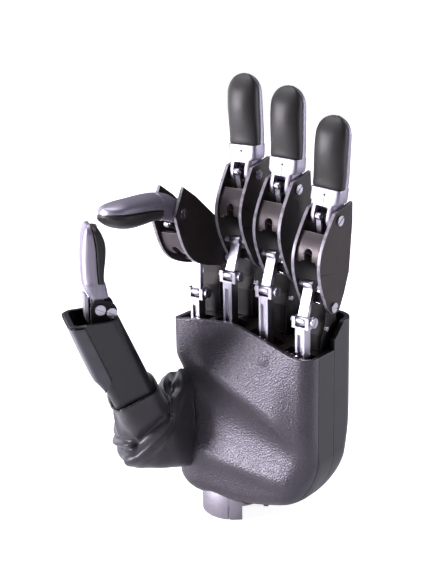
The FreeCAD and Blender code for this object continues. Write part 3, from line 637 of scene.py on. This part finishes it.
def palm_field(p):
    """Negative inside the palm's outer form, positive outside; p is an array of points."""
    x, y, z = p[:, 0], p[:, 1], p[:, 2]
    flare = FLARE * np.exp(-((z - FLARE_HEIGHT) / 9.0) ** 2) * (1 - ease(x, -18, 10))
    y = y + palm_swell(x, z) * ease(-y, 0, 15)
    loss = np.where(y < PALM_CENTRE.y, FRONT_CORNER_LOSS * ease(z, 62, 74),
                    BACK_CORNER_LOSS * ease(z, 26, 60))
    thumb_corner = THUMB_CORNER - loss
    little_corner = LITTLE_CORNER + LITTLE_CORNER_GAIN * ease(-z, -50, -4)
    corner = np.where(x < PALM_CENTRE.x, thumb_corner, little_corner)
    curve = through(FLOOR_LINE, 6)
    floor = np.interp(x, curve[:, 0], curve[:, 1])
    qx = np.abs(x + flare - PALM_CENTRE.x) - PALM_HALF[0] + corner
    qy = np.abs(y - PALM_CENTRE.y) - PALM_HALF[1] + corner
    qz = (floor - z + FLOOR_EDGE) * corner / FLOOR_EDGE
    beyond = np.sqrt(np.maximum(qx, 0) ** 2 + np.maximum(qy, 0) ** 2 + np.maximum(qz, 0) ** 2)
    return beyond + np.minimum(np.maximum(np.maximum(qx, qy), qz), 0) - corner


def palm_headings():
    """Level directions from the palm's middle to points spread evenly along its outline."""
    turn = np.linspace(0, 2 * math.pi, PALM_SPOKES, endpoint=False)
    oval = np.stack([PALM_HALF[0] * np.sign(np.cos(turn)) * np.abs(np.cos(turn)) ** PALM_SQUARE,
                     PALM_HALF[1] * np.sign(np.sin(turn)) * np.abs(np.sin(turn)) ** PALM_SQUARE], axis=1)
    closed = np.vstack([oval, oval[:1]])
    length = np.concatenate([[0], np.cumsum(np.hypot(*np.diff(closed, axis=0).T))])
    even = np.linspace(0, length[-1], PALM_SPOKES, endpoint=False)
    around = np.stack([np.interp(even, length, closed[:, i]) for i in (0, 1)], axis=1)
    return around / np.linalg.norm(around, axis=1)[:, None]


def palm_surface(top):
    """Grid over the palm's outer form, from its top line down to the middle of its underside.

    The top line's height depends on where a ray leaves the palm, so it is found in a few rounds.
    """
    heading = palm_headings()
    level = np.repeat(np.linspace(0, 1, PALM_LEVELS), PALM_SPOKES)
    way = np.hstack([heading, np.zeros((PALM_SPOKES, 1))])
    way = np.tile(way, (PALM_LEVELS, 1))
    start = np.tile(np.array(PALM_CENTRE), (len(level), 1))
    for _ in range(TOP_ROUNDS):
        start[:, 2] = top(march(start, way)) * (1 - level) + PALM_CENTRE.z * level
    side = march(start, way)
    tilt = np.repeat(np.linspace(0, math.pi / 2, PALM_UNDER)[1:], PALM_SPOKES)[:, None]
    way = np.tile(heading, (PALM_UNDER - 1, 1))
    way = np.hstack([way * np.cos(tilt), -np.sin(tilt)])
    under = march(np.tile(np.array(PALM_CENTRE), (len(way), 1)), way)
    return np.vstack([side, under]), ring_faces(PALM_LEVELS + PALM_UNDER - 1, PALM_SPOKES)


def march(start, way):
    """Where rays from inside the palm leave it, by halving."""
    low = np.zeros(len(start))
    high = np.full(len(start), PALM_REACH)
    for _ in range(HALVINGS):
        middle = (low + high) / 2
        inside = palm_field(start + way * middle[:, None]) < 0
        low = np.where(inside, middle, low)
        high = np.where(inside, high, middle)
    return start + way * low[:, None]


def keep_zone(piece, planes, wanted):
    """Cuts the piece's mesh along planes (point, normal in mm) and keeps the faces wanted(centre)."""
    work = bmesh.new()
    work.from_mesh(piece.data)
    for at, normal in planes:
        bmesh.ops.bisect_plane(work, geom=work.verts[:] + work.edges[:] + work.faces[:],
                               plane_co=Vector(at) * MM, plane_no=normal, dist=1e-7)
    unwanted = [f for f in work.faces if not wanted(f.calc_center_median() / MM)]
    bmesh.ops.delete(work, geom=unwanted, context="FACES")
    bmesh.ops.remove_doubles(work, verts=work.verts, dist=0.01 * MM)
    work.to_mesh(piece.data)
    work.free()


def front_top(p):
    return rim_height(p[:, 0])


def back_top(p):
    """Top line of the back cover, which rises behind the fingers."""
    rise = np.interp(p[:, 1], [2.5, 4.0, 12.0, 20.0], [88.2, 88.5, 96.0, 97.2])
    return np.minimum(rise, np.interp(p[:, 0], [-30, 20, 54], [98.0, 98.5, 95.0]))


def sector(inner, outer, z0, z1, start, end):
    """Part of a thick ring around the thumb's swing axis, used to cut openings."""
    angles = np.radians(np.linspace(start, end, 24))
    vertices = []
    for a in angles:
        for radius, z in ((inner, z0), (outer, z0), (outer, z1), (inner, z1)):
            vertices.append((SWING_AT.x + radius * math.cos(a), SWING_AT.y + radius * math.sin(a), z))
    faces = ring_faces(len(angles), 4)
    faces += [(3, 2, 1, 0), tuple(range(len(vertices) - 4, len(vertices)))]
    return vertices, faces


ROD_RELIEF = box_shape((44.0, -12.9, 58.0), (52.3, -6.7, 99.0))    # for the little finger's rod


def build_palm_covers():
    """Front cover, side strip and back cover, cut from one form along the seams between them."""
    side_plane = ((0, SIDE_SEAM_Y, 0), (0, 1, 0))
    back_plane = ((0, BACK_SEAM_Y, 0), (0, 1, 0))
    under_plane = ((UNDER_SEAM_X, 0, 0), (1, 0, 0))
    side_gap = ((0, SIDE_SEAM_Y + SEAM, 0), (0, 1, 0))
    back_gap = ((0, BACK_SEAM_Y + SEAM, 0), (0, 1, 0))
    under_gap = ((UNDER_SEAM_X + SEAM, 0, 0), (1, 0, 0))
    zones = {
        "palm_cover": ("palm_skin", front_top, [side_plane, back_plane, under_plane],
                       lambda c: c.y < BACK_SEAM_Y and not (c.x > UNDER_SEAM_X and c.y > SIDE_SEAM_Y)),
        "side_strip": ("cover_satin", front_top, [side_gap, back_plane, under_gap],
                       lambda c: SIDE_SEAM_Y + SEAM < c.y < BACK_SEAM_Y and c.x > UNDER_SEAM_X + SEAM),
        "back_cover": ("cover_satin", back_top, [back_gap], lambda c: c.y > BACK_SEAM_Y + SEAM),
    }
    for node, (finish, top, planes, wanted) in zones.items():
        cover = mesh_piece(f"{node}_shell", *palm_surface(top))
        keep_zone(cover, planes, wanted)
        add_modifier(cover, "SOLIDIFY", thickness=WALL * MM, offset=-1.0, use_even_offset=False)
        apply_modifiers(cover)
        for tool in (round_hole(2, (0, 0), WRIST_WELL, (-5, 16), 96), sector(*ARM_SLOT), ROD_RELIEF):
            cut(cover, tool, solver="MANIFOLD")
        bevel(cover, 0.45, 50)
        dress(cover, finish, 40)
        stand_for(cover, node, "palm")


# ---------------------------------------------------------------- thumb
THUMB_HALF = 6.2
THUMB_LENGTH = 37.4
THUMB_ROUND_FROM = 33.0
THUMB_BACK = [(4.0, 5.4), (6.2, 9.7), (6.8, 17.0), (6.6, 25.0), (5.9, 32.0), (4.6, 37.4)]
THUMB_SPLIT = [(2.2, 37.4), (1.4, 33.0), (0.6, 27.0), (0.5, 18.0), (0.2, 12.0)]
THUMB_FRONT = [(-4.2, 4.4), (-3.4, 9.8), (-2.6, 12.6)]
THUMB_PAD = [(-2.9, 11.0), (-2.9, 15.0), (-4.0, 22.0), (-4.2, 27.5), (-2.9, 32.0), (-1.0, 35.5)]
THUMB_PAD_FOOT = 11.6
THUMB_TONGUE = 3.4
TUBE_COVER_FOOT = 43.0
TUBE_COVER_LENGTH = 52.0
TUBE_COVER_DROP = 1.2       # the cover ends this far below the tube's rim
TUBE_HALF = (11.9, 10.3)    # just outside the tube
HINGE_AT, HINGE_AXIS = joint_place("thumb_flex")


def thumb_tip_frame():
    origin, across = joint_place("thumb_tip_flex")
    along = Vector((0, 0, 1))
    return basis(origin, across, along.cross(across), along)


def thumb_heights(start, end):
    """Heights for the rings of the thumb's end, closer together where it rounds off."""
    turns = np.linspace(0.15, LAST_TURN, 12)
    return list(np.linspace(start, THUMB_ROUND_FROM, 16)) + [
        THUMB_ROUND_FROM + (end - THUMB_ROUND_FROM) * math.sin(a) for a in turns]


def thumb_shell_rows():
    """Sections of the silver back of the thumb's end."""
    rows = []
    for z in (5.2, 5.6, 7.0, 9.0, 10.6, 11.4):
        front = at_height(THUMB_FRONT, z)
        back = at_height(THUMB_BACK, z)
        rows.append((z, THUMB_HALF, front, (front + back) / 2, back, 6.0, 4.0))
    for z in thumb_heights(THUMB_PAD_FOOT, THUMB_LENGTH):
        shrink = rounding(z, THUMB_ROUND_FROM, THUMB_LENGTH)
        split, back = at_height(THUMB_SPLIT, z), at_height(THUMB_BACK, z)
        middle = split + 1.2 * min(1.0, 1.6 * shrink)
        rows.append((z, THUMB_HALF * (0.4 + 0.6 * shrink), split, middle,
                     middle + max(0.2, back - middle) * (0.5 + 0.5 * shrink), 7.0, 3.4))
    return rows


def thumb_pad_rows():
    """Sections of the thumb's soft pad."""
    end = THUMB_LENGTH - 1.2
    rows = []
    start = [THUMB_PAD_FOOT + d for d in (0.0, 0.15, 0.5, 1.0)]
    for z in start + thumb_heights(THUMB_PAD_FOOT + 2.0, end):
        foot = rounding(THUMB_PAD_FOOT + 1.0 - z, 0.0, 1.05)
        shrink = rounding(z, THUMB_ROUND_FROM, end)
        split = at_height(THUMB_SPLIT, z) - PAD_SEAM
        middle = split - 1.3 * min(1.0, 1.6 * shrink)
        front = at_height(THUMB_PAD, z)
        front = middle - max(0.1, middle - front) * (0.7 + 0.3 * foot)
        width = (THUMB_HALF + 0.15) * (0.35 + 0.65 * shrink) * (0.95 + 0.05 * foot)
        rows.append((z, width, front, middle, split, 2.4, 7.0))
    return rows


def build_thumb_tip():
    """Silver back with a tongue that turns in the clevis, and the soft pad on it."""
    place = thumb_tip_frame()
    shell = mesh_piece("thumb_tip_back", *loft(thumb_shell_rows()), place)
    block = box_shape((-THUMB_TONGUE, -2.4, -1.6), (THUMB_TONGUE, 3.0, 9.0))
    tongue = mesh_piece("tongue", *block, place)
    bevel(tongue, 1.0, segments=4)
    combine(shell, tongue, "UNION")
    cut(shell, AXLE_HOLE, place)
    dress(shell, "finger_aluminium", 35)
    stand_for(shell, "thumb_tip_shell", "thumb_tip")
    pad = mesh_piece("thumb_soft_pad", *loft(thumb_pad_rows(), PAD_SPOKES), place)
    dress(pad, "pad_rubber", 60)
    stand_for(pad, "thumb_tip_pad", "thumb_tip")


def tube_direction():
    """Along the thumb's tube, square to its hinge axis and leaning to the palm side."""
    low, high = (Vector(corner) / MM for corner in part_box("thumb_motor"))
    along = (low + high) / 2 - HINGE_AT
    return (along - along.project(HINGE_AXIS)).normalized()


def tube_frame():
    """Frame of the thumb's tube at its hinge: z along it and +y towards its back."""
    along = tube_direction()
    back = along.cross(HINGE_AXIS)
    return basis(HINGE_AT, back.cross(along), back, along)


def back_cover_row(z):
    """Section of the raised cover on the tube's back, which narrows to a point at its foot."""
    climb = z - TUBE_COVER_FOOT
    low = max(5.6, 11.3 - climb / 0.92)
    high = min(13.6, 11.3 + climb / 3.6) - 0.035 * max(0.0, climb - 12)
    reach = min(12.6, 11.6 + climb / 4)
    return low, high, reach


def build_tube_cover():
    """Raised back cover of the tube, folded round its two back corners."""
    rows = []
    for climb in [0.15, 0.6, 1.5, 3.0, 4.5, 6.0, 8.0] + list(np.linspace(10, TUBE_COVER_LENGTH, 14)):
        low, high, reach = back_cover_row(TUBE_COVER_FOOT + climb)
        rows.append((TUBE_COVER_FOOT + climb, reach, low, (low + high) / 2, high, 9.0, 4.0))
    place = tube_frame()
    cover = mesh_piece("thumb_back_cover", *loft(rows, 64), place)
    half_x, half_y = TUBE_HALF
    cut(cover, loft([(z, half_x, -half_y, 0.0, half_y, 6.0, 6.0) for z in (20.0, 110.0)], 64), place)
    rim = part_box("thumb_tube")[1][2] / MM - TUBE_COVER_DROP
    cut(cover, box_shape((-150, -200, rim), (100, 100, rim + 80)))
    bevel(cover, 0.3, 40)
    dress(cover, "rail_grey", 34)
    stand_for(cover, "thumb_rail", "thumb_tube")


# ---------------------------------------------------------------- thumb gaiter
BOOT_RINGS = 90
BOOT_SPOKES = 120
BOOT_VOXEL = 0.65
MOUTH_RADIUS = 11.8
MOUTH_HEADING = -128.0
MOUTH_SPAN = 31.0
MOUTH_MIDDLE = 40.0
MOUTH_HALF_HEIGHT = 24.0
MOUTH_SQUARE = 0.55         # below 1 makes the mouth's outline squarer
MOUTH_OPEN = 12.6           # the gaiter is open inside this radius about the swing axis
BOOT_THICK = 1.0
BOOT_BLEND = (2, 16)        # part of the tube's length
SLEEVE_SLANT = 5.2          # the sleeve's edge rises towards the palm side of the tube
SLANT_FROM = 0.8            # share of the way from which the rings slant
MOUTH_UNTIL = 0.26          # share of the way over which the mouth's outline fades
# Folds: depth (raised above 0, sunk below), width, then points along the fold
BOOT_FOLDS = [
    (2.6, 3.0, [(-18, -17, 63), (-14, -22, 61), (-12, -28, 56), (-11.5, -33, 49), (-12.5, -38, 41),
                (-16, -43, 36), (-21.5, -46, 31), (-27, -46, 26.6)]),
    (-2.6, 2.6, [(-15, -26, 59), (-16, -26, 54), (-14.5, -31, 50), (-14, -37, 46), (-17, -42, 42),
                 (-20, -45, 37.6), (-23, -46, 34)]),
    (-1.7, 1.5, [(-43, -27, 36), (-43, -35, 34), (-40, -41, 33.5), (-35, -44, 35), (-28, -46.5, 36.4),
                 (-24, -46.3, 37.2)]),
    (-2.0, 1.5, [(-43, -24, 29), (-42, -34, 28.5), (-38, -42, 29), (-33, -45.3, 30.6), (-27, -46.7, 32.3),
                 (-23, -46.3, 34)]),
    (1.0, 1.6, [(-44, -30, 32), (-41, -39, 31), (-34, -45, 32.8), (-26, -47, 34.4)]),
    (-1.8, 1.7, [(-21, -17, 62), (-20, -22, 60), (-21, -25, 56), (-20, -27, 52)]),
    (1.2, 2.0, [(-24, -17, 60), (-26, -21, 56), (-29, -22, 54)]),
    (1.0, 2.4, [(-36, -43, 47), (-35, -45, 41), (-33, -46, 38)]),
    (-0.8, 3.0, [(-28, -45, 46), (-26, -46, 41)]),
]
BOOT_WAVES = [(0.5, 0.09), (0.08, 0.3)]         # depth and scale of the soft unevenness
# Stations from the palm to the sleeve: share of the way, middle (out from the palm, to the front
# and up from the thumb's hinge), half width, half height, power of the oval, share of the turn
BOOT_STATIONS = [
    (0.00, -19.0, 0.0, 0.0, 15.0, 24.0, 2.6, 0.0),
    (0.22, -9.0, 0.0, 0.0, 16.5, 22.0, 2.5, 0.06),
    (0.42, -3.0, 0.5, -1.0, 17.2, 20.4, 2.3, 0.28),
    (0.58, 0.8, 1.5, -1.8, 17.6, 19.2, 2.2, 0.52),
    (0.72, 2.8, 2.8, 0.6, 17.0, 17.4, 2.2, 0.76),
    (0.84, 3.6, 4.2, 8.0, 14.0, 13.4, 2.6, 0.94),
    (0.92, 5.3, 5.6, 13.0, 13.0, 11.8, 3.6, 1.0),
    (1.00, 7.6, 7.8, 17.6, 13.5, 12.0, 4.4, 1.0),
]


def mouth_loop(t):
    """Edge of the gaiter on the palm's corner, concentric with the thumb's swing axis."""
    heading = math.radians(MOUTH_HEADING + MOUTH_SPAN * signed_power(math.cos(t), MOUTH_SQUARE))
    height = MOUTH_MIDDLE + MOUTH_HALF_HEIGHT * signed_power(math.sin(t), MOUTH_SQUARE)
    return Vector((SWING_AT.x + MOUTH_RADIUS * math.cos(heading),
                   SWING_AT.y + MOUTH_RADIUS * math.sin(heading), height))


def boot_rings():
    """Rings of the gaiter from its mouth on the palm, round the hinge, to the sleeve on the tube."""
    out = Vector((HINGE_AT.x - SWING_AT.x, HINGE_AT.y - SWING_AT.y, 0)).normalized()
    front = Vector((-out.y, out.x, 0))
    along = tube_direction()
    first = Matrix((Vector((0, 0, 1)).cross(out), Vector((0, 0, 1)), out)).transposed().to_quaternion()
    last = Matrix((-HINGE_AXIS, along.cross(-HINGE_AXIS), along)).transposed().to_quaternion()
    table = through(BOOT_STATIONS, 16)
    rings = []
    for s in np.linspace(0, 1, BOOT_RINGS):
        o, f, u, half_x, half_y, power, share = (float(np.interp(s, table[:, 0], column))
                                                 for column in table.T[1:])
        centre = HINGE_AT + out * o + front * f + Vector((0, 0, u))
        turn = first.slerp(last, min(1.0, max(0.0, share)))
        near = 1 - float(ease(s, 0.0, MOUTH_UNTIL))
        ring = []
        for j in range(BOOT_SPOKES):
            t = 2 * math.pi * j / BOOT_SPOKES
            flat = Vector((*bent_oval(t, half_x, -half_y, 0.0, half_y, power, power), 0))
            slant = along * SLEEVE_SLANT * (1 + math.cos(t)) * float(ease(s, SLANT_FROM, 1.0))
            ring.append((centre + turn @ flat + slant).lerp(mouth_loop(t), near))
        rings.append(ring)
    return rings


def off_line(points, line):
    """Distance from each point to a line of points."""
    best = np.full(len(points), 1e9)
    for a, b in zip(line[:-1], line[1:]):
        way = np.subtract(b, a)
        share = np.clip((points - a) @ way / (way @ way), 0, 1)
        best = np.minimum(best, np.linalg.norm(points - a - share[:, None] * way, axis=1))
    return best


def fold(piece):
    """Moves the gaiter's points in and out along its folds and its soft unevenness."""
    mesh = piece.data
    points = np.array([v.co for v in mesh.vertices]) / MM
    normals = np.array([v.normal for v in mesh.vertices])
    move = np.array([sum(depth * noise.noise(Vector(p) * scale) for depth, scale in BOOT_WAVES)
                     for p in points])
    for depth, width, line in BOOT_FOLDS:
        move += depth * np.exp(-(off_line(points, through(line, 6)) / width) ** 2)
    mesh.vertices.foreach_set("co", ((points + normals * move[:, None]) * MM).ravel())
    mesh.update()


def build_boot():
    """Gaiter as a closed skin that is remeshed, folded, opened at both ends and given thickness."""
    rings = boot_rings()
    vertices = [p for ring in rings for p in ring]
    faces = ring_faces(BOOT_RINGS, BOOT_SPOKES)
    faces.append(tuple(reversed(range(BOOT_SPOKES))))
    faces.append(tuple(range(len(vertices) - BOOT_SPOKES, len(vertices))))
    boot = mesh_piece("thumb_gaiter", vertices, faces)
    add_modifier(boot, "REMESH", mode="VOXEL", voxel_size=BOOT_VOXEL * MM)
    add_modifier(boot, "SMOOTH", factor=0.5, iterations=8)      # takes out the remesh's steps
    apply_modifiers(boot)
    fold(boot)
    add_modifier(boot, "SMOOTH", factor=0.5, iterations=2)
    apply_modifiers(boot)
    sleeve = rings[-1]
    middle = sum(sleeve, Vector()) / BOOT_SPOKES
    quarter = BOOT_SPOKES // 4
    normal = (sleeve[0] - middle).cross(sleeve[quarter] - middle).normalized()
    edge = middle - normal

    def wanted(c):
        off_swing = math.hypot(c.x - SWING_AT.x, c.y - SWING_AT.y)
        return (c - edge).dot(normal) < 0 and off_swing > MOUTH_OPEN

    keep_zone(boot, [(edge, normal)], wanted)
    for polygon in boot.data.polygons:
        polygon.use_smooth = True
    add_modifier(boot, "SOLIDIFY", thickness=BOOT_THICK * MM, offset=-1.0)
    apply_modifiers(boot)
    dress(boot, "boot_rubber")
    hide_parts("thumb_boot")
    start, end = (HINGE_AT + tube_direction() * height for height in BOOT_BLEND)
    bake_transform(boot)


CURTAIN = (9.7, 10.3, 28.0, 51.0, 190, 318)     # sector() shapes behind the palm's slot
CURTAIN_HOLE = (5, 14, 33.4, 44.6, 206, 258)
PLEAT = (10.4, 10.75, 28.0, 51.0, 138, 194)


def build_curtain():
    """Thin curtain of the gaiter that turns with the thumb and closes the palm's slot."""
    curtain = mesh_piece("thumb_gaiter_curtain", *sector(*CURTAIN))
    bevel(curtain, 0.2)
    curtain.data.set_sharp_from_angle(angle=math.radians(40))
    cut(curtain, sector(*CURTAIN_HOLE))
    dress(curtain, "boot_rubber")
    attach(curtain, "thumb_base")


def build_pleat():
    """Pleat that closes the back of the slot."""
    pleat = mesh_piece("thumb_slot_pleat", *sector(*PLEAT))
    dress(pleat, "boot_rubber", 40)
    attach(pleat, "palm")
    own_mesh(pleat)


# ---------------------------------------------------------------- carried-over CAD parts
CAD_FINISH = {
    "radial_plate": "plate_black", "ulnar_plate": "plate_black", "bridge": "bridge_brown",
    "screws": "chrome_screw", "drive_rod": "rod_steel", "drive_link": "rod_steel",
    "coupling_link": "rod_steel", "tip_shell": "finger_aluminium", "tip_pad": "pad_rubber",
}
SOFT_EDGE = {"plate_black": 0.3, "bridge_brown": 0.2, "chrome_screw": 0.15, "rod_steel": 0.2,
             "bracket_black": 0.3, "deck_gloss": 0.25, "coupling_grey": 0.4, "tube_black": 0.5,
             "cover_satin": 0.5, "palm_skin": 0.5}
WELD_REACH = 0.002


def dress_cad_parts():
    """Materials and slightly rounded edges for the CAD nodes, which keep their own meshes."""
    slots = {part["node"]: part["material_slot"] for part in frame["record"]["subparts"]}
    for node, piece in NODES.items():
        kind = node.split("_", 1)[1]
        finish = CAD_FINISH[kind] if node.split("_")[0] in FINGERS else slots[node]
        piece.data.materials.clear()
        piece.data.materials.append(MATERIALS[finish])
        add_modifier(piece, "WELD", merge_threshold=WELD_REACH * MM)
        if finish in SOFT_EDGE:
            add_modifier(piece, "BEVEL", width=SOFT_EDGE[finish] * MM, segments=2,
                         limit_method="ANGLE", angle_limit=math.radians(38), harden_normals=True)


# ---------------------------------------------------------------- scene
CAMERA_AT = Vector((339.48, -452.23, 281.37))
CAMERA_RIGHT = Vector((0.7956, 0.6056, -0.0194))
CAMERA_UP = Vector((-0.1671, 0.2501, 0.9537))
CAMERA_BACK = Vector((0.5824, -0.7555, 0.3002))
LENS = 80.2
FLOOR_GLOW = 0.85           # the camera sees the paper floor almost as white as its background
FLOOR_REACH = 900
FLOOR_GAP = 0.5             # the floor lies this far below the hand
SURROUND_COLOUR = (0.86, 0.86, 1.0, 1)
SURROUND_LIGHT = 0.2
# Lights: name, place, size, power and colour.
LIGHTS = [
    ("key", (-0.56, -0.78, 0.2), (0.3, 0.42), 14.0, (0.96, 0.92, 1.0)),
    ("back_right", (0.66, 0.62, -0.02), (0.25, 0.8), 5.0, (0.9, 0.9, 1.0)),
    ("top", (-0.25, -0.1, 1.05), (0.8, 0.8), 8.0, (0.94, 0.93, 1.0)),
    ("back_left", (-0.85, 0.15, 0.25), (0.4, 0.8), 3.0, (0.9, 0.9, 1.0)),
]


def make_camera():
    data = bpy.data.cameras.new("camera")
    data.lens = LENS
    data.sensor_fit = "AUTO"
    data.sensor_width = 36.0
    camera = bpy.data.objects.new("camera", data)
    bpy.context.scene.collection.objects.link(camera)
    camera.matrix_world = basis(CAMERA_AT * MM, CAMERA_RIGHT, CAMERA_UP, CAMERA_BACK)
    bpy.context.scene.camera = camera


def area_light(name, at, size, power, colour):
    """Rectangular light that faces the middle of the hand."""
    data = bpy.data.lights.new(name, "AREA")
    data.shape = "RECTANGLE"
    data.size, data.size_y = size
    data.energy = power
    data.color = colour
    light = bpy.data.objects.new(name, data)
    bpy.context.scene.collection.objects.link(light)
    light.location = at
    middle = (cad_low + cad_high) / 2
    light.rotation_euler = (middle - Vector(at)).to_track_quat("-Z", "Y").to_euler()


def make_world():
    """Soft surround for the light, and plain white for the camera."""
    world = bpy.data.worlds.new("studio")
    world.use_nodes = True
    tree = world.node_tree
    soft = tree.nodes["Background"]
    soft.inputs["Color"].default_value = SURROUND_COLOUR
    soft.inputs["Strength"].default_value = SURROUND_LIGHT
    white = tree.nodes.new("ShaderNodeBackground")
    white.inputs["Color"].default_value = (1, 1, 1, 1)
    white.inputs["Strength"].default_value = 1.0
    seen = tree.nodes.new("ShaderNodeLightPath")
    choice = tree.nodes.new("ShaderNodeMixShader")
    tree.links.new(seen.outputs["Is Camera Ray"], choice.inputs[0])
    tree.links.new(soft.outputs[0], choice.inputs[1])
    tree.links.new(white.outputs[0], choice.inputs[2])
    tree.links.new(choice.outputs[0], tree.nodes["World Output"].inputs["Surface"])
    bpy.context.scene.world = world


def make_floor():
    """Pale paper floor just below the hand."""
    height = cad_low.z / MM - FLOOR_GAP
    corners = [(x * FLOOR_REACH, y * FLOOR_REACH, height) for x, y in ((-1, -1), (1, -1), (1, 1), (-1, 1))]
    floor = mesh_piece("floor", corners, [(0, 1, 2, 3)])
    s = Shader("floor_paper")
    tone = s.mix(s.noise(40.0, 2), (0.93, 0.93, 0.94), (0.96, 0.96, 0.97))
    seen = s.node("ShaderNodeLightPath").outputs["Is Camera Ray"]
    floor.data.materials.append(s.done(tone, 0.9, Emission_Color=(1, 1, 1, 1),
                                       Emission_Strength=s.maths("MULTIPLY", seen, FLOOR_GLOW)))


MATERIALS = make_materials()
dress_cad_parts()
for finger_name in FINGERS:
    build_fingertip(finger_name)
    build_bushing(finger_name)
build_palm_covers()
build_thumb_tip()
build_tube_cover()
build_boot()
build_curtain()
build_pleat()
make_world()
for light_settings in LIGHTS:
    area_light(*light_settings)
make_floor()
make_camera()
bpy.context.scene.view_settings.view_transform = "Standard"
